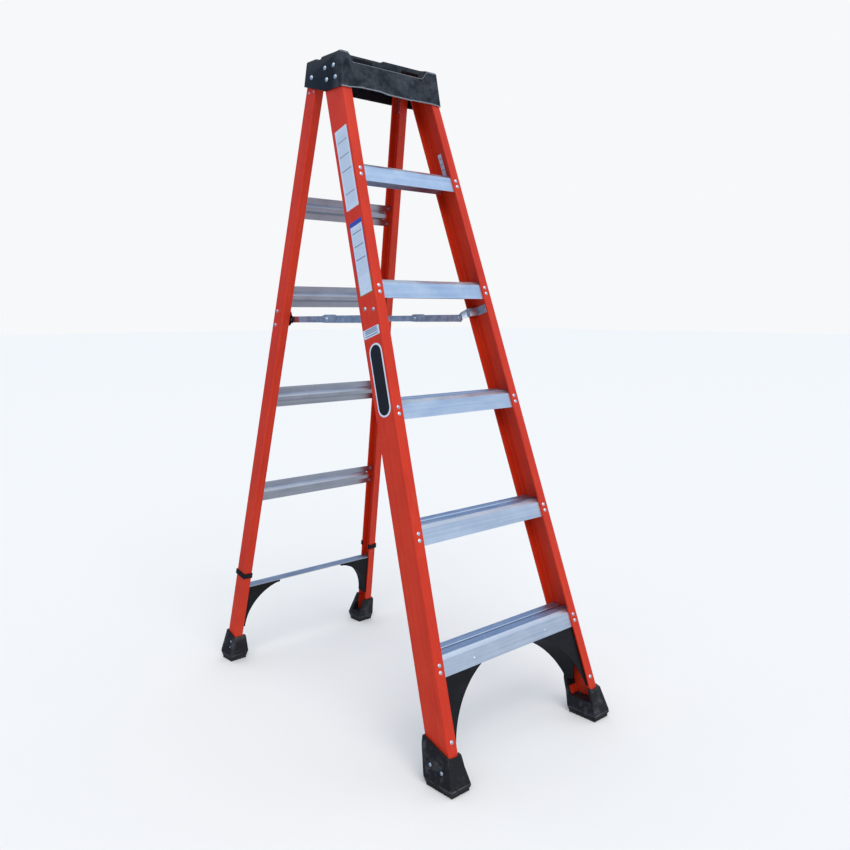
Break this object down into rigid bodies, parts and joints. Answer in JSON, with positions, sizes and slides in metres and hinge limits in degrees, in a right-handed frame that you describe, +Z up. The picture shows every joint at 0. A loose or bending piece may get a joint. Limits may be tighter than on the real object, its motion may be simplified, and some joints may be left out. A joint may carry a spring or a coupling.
{
  "type": "step ladder",
  "caption": "Free-standing folding step ladder: leaning channel rails with level treads, a moulded tool cap, a hinged rear frame and locking spreaders.",
  "frame": {"origin": "on the floor, at the middle of the open ladder's footprint", "axes": "+X to the right as the climber faces the steps, +Y to the back, +Z up"},
  "size_m": [0.6212, 1.1166, 1.8198],
  "materials": {
    "fibreglass": "pultruded orange glass fibre, satin, fine lengthwise fibre grain",
    "aluminium": "mill finish, drawn lengthwise",
    "zinc": "bright zinc plate",
    "black_plastic": "moulded, fine spark texture",
    "rubber": "matt"
  },
  "bodies": {
    "front_frame": {"front_rail_left": "fibreglass", "front_rail_right": "fibreglass", "step_1": "aluminium", "step_2": "aluminium", "step_3": "aluminium", "step_4": "aluminium", "step_5": "aluminium", "top_cap": "black_plastic", "hinge_bolts": "zinc", "hinge_washers": "black_plastic", "front_arm_pins": "zinc", "step_front_rivets": "zinc", "step_rear_rivets": "zinc", "cap_rivets": "zinc", "front_foot_rivets": "zinc", "front_gusset_rivets": "zinc", "front_bracket_rivets": "zinc", "front_foot_left": "black_plastic", "front_foot_right": "black_plastic", "front_tread_left": "rubber", "front_tread_right": "rubber", "front_gusset_left": "black_plastic", "front_gusset_right": "black_plastic", "front_bracket_left": "zinc", "front_bracket_right": "zinc"},
    "rear_frame": {"rear_rail_left": "fibreglass", "rear_rail_right": "fibreglass", "rear_horizontal_1": "aluminium", "rear_horizontal_2": "aluminium", "rear_horizontal_3": "aluminium", "rear_horizontal_4": "aluminium", "rear_bottom_bar": "aluminium", "rear_arm_pins": "zinc", "horizontal_rivets": "zinc", "bottom_bar_rivets": "zinc", "rear_foot_rivets": "zinc", "rear_gusset_rivets": "zinc", "rear_bracket_rivets": "zinc", "hinge_plate_rivets": "zinc", "rear_foot_left": "black_plastic", "rear_foot_right": "black_plastic", "rear_tread_left": "rubber", "rear_tread_right": "rubber", "rear_gusset_left": "black_plastic", "rear_gusset_right": "black_plastic", "rear_bracket_left": "black_plastic", "rear_bracket_right": "black_plastic", "hinge_plate_left": "zinc", "hinge_plate_right": "zinc", "rail_clip_left": "black_plastic", "rail_clip_right": "black_plastic"},
    "front_arm_left_body": {"front_arm_left": "zinc"},
    "rear_arm_left_body": {"rear_arm_left": "zinc", "centre_rivet_left": "zinc"},
    "front_arm_right_body": {"front_arm_right": "zinc"},
    "rear_arm_right_body": {"rear_arm_right": "zinc", "centre_rivet_right": "zinc"}
  },
  "joints": [
    {"name": "rear_fold", "type": "hinge", "parent": "front_frame", "child": "rear_frame", "pos_m": [0, 0.14786, 1.77], "axis": [-1, 0, 0], "range_deg": [0, 29]},
    {"name": "front_arm_hinge_left", "type": "hinge", "parent": "front_frame", "child": "front_arm_left_body", "pos_m": [-0.167, -0.08883, 1.115], "axis": [1, 0, 0], "range_deg": [0, 69]},
    {"name": "rear_arm_hinge_left", "type": "hinge", "parent": "rear_frame", "child": "rear_arm_left_body", "pos_m": [-0.1746, 0.27092, 1.111], "axis": [-1, 0, 0], "range_deg": [0, 77]},
    {"name": "front_arm_hinge_right", "type": "hinge", "parent": "front_frame", "child": "front_arm_right_body", "pos_m": [0.167, -0.08883, 1.115], "axis": [1, 0, 0], "range_deg": [0, 69]},
    {"name": "rear_arm_hinge_right", "type": "hinge", "parent": "rear_frame", "child": "rear_arm_right_body", "pos_m": [0.1746, 0.27092, 1.111], "axis": [-1, 0, 0], "range_deg": [0, 77]}
  ],
  "couplings": [
    {"joint": "front_arm_hinge_left", "follows": "rear_fold", "ratio": 2.3735},
    {"joint": "rear_arm_hinge_left", "follows": "rear_fold", "ratio": 2.6435},
    {"joint": "front_arm_hinge_right", "follows": "rear_fold", "ratio": 2.3735},
    {"joint": "rear_arm_hinge_right", "follows": "rear_fold", "ratio": 2.6435}
  ]
}
